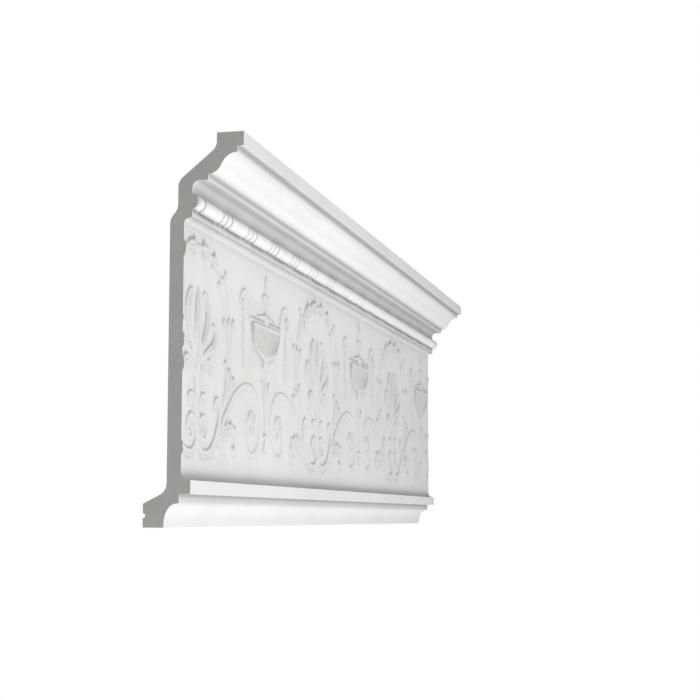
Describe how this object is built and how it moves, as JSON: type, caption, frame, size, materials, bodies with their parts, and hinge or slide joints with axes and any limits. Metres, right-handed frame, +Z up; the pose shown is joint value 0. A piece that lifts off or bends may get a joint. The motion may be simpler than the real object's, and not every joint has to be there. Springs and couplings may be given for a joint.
{
  "type": "cornice moulding length",
  "caption": "Straight length of cast cornice moulding with a beaded thread, cyma crown and shallow carved frieze of wreaths, urns and scrolls, hollow behind, sawn square at both ends.",
  "frame": {"origin": "on the wall plane, halfway along the length, in the middle of the lower land of the wall seat, 3.8 mm above the underside", "axes": "X runs along the moulding, -Y is the carved front facing the room and +Y points into the wall, Z is up to the ceiling"},
  "size_m": [1.1, 0.0818, 0.32],
  "materials": {
    "primer_white": "matt white primer on cast polyurethane foam, grey core at the sawn ends"
  },
  "bodies": {
    "root": {"cornice_length": "primer_white"}
  },
  "joints": []
}
